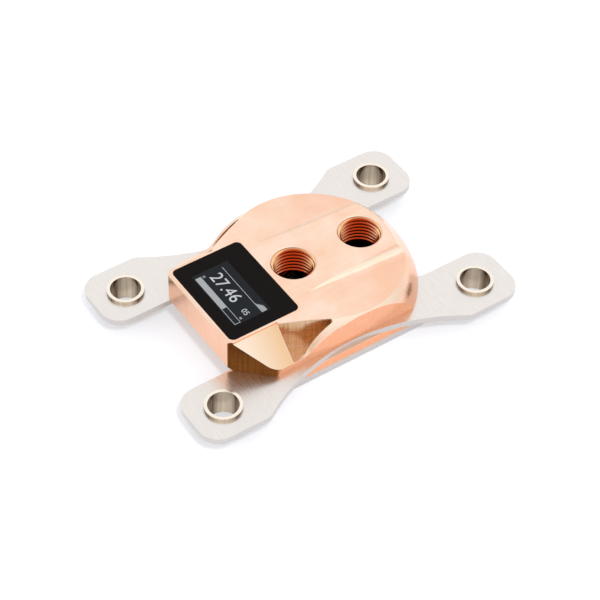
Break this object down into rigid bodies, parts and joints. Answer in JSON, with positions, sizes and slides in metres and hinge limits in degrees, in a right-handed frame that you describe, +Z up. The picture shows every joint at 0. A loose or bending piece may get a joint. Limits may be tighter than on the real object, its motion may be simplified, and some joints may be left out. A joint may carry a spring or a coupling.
{
  "type": "cpu water block",
  "caption": "Copper liquid-cooling block for a processor, with a small display, threaded ports and a flared steel mounting bracket.",
  "frame": {"origin": "centre of the four mounting holes, on the contact face of the cold plate", "axes": "+Z up, away from the processor; the display end faces -Y; +X to the right of someone facing it"},
  "size_m": [0.075, 0.1116, 0.02],
  "materials": {
    "copper": "milled and satin polished",
    "stainless": "brushed",
    "nickel": "plated, bright",
    "black_glass": "gloss, printed black round its edge",
    "panel": "gloss",
    "rubber": "matt",
    "board": "satin solder mask",
    "plastic": "matt",
    "ribbon": "satin film",
    "steel_screw": "turned",
    "probe_metal": "turned"
  },
  "bodies": {
    "root": {"top_cover": "copper", "cold_plate": "copper", "jet_plate": "stainless", "main_seal": "rubber", "mounting_bracket": "stainless", "sleeve_front_left": "nickel", "sleeve_front_right": "nickel", "sleeve_rear_left": "nickel", "sleeve_rear_right": "nickel", "retaining_frame": "stainless", "frame_screws": "steel_screw", "display_window": "black_glass", "window_gasket": "rubber", "display_panel": "panel", "circuit_board": "board", "processor_chip": "plastic", "data_socket": "plastic", "display_ribbon": "ribbon", "temperature_probe": "probe_metal", "probe_seal": "rubber"}
  },
  "joints": []
}
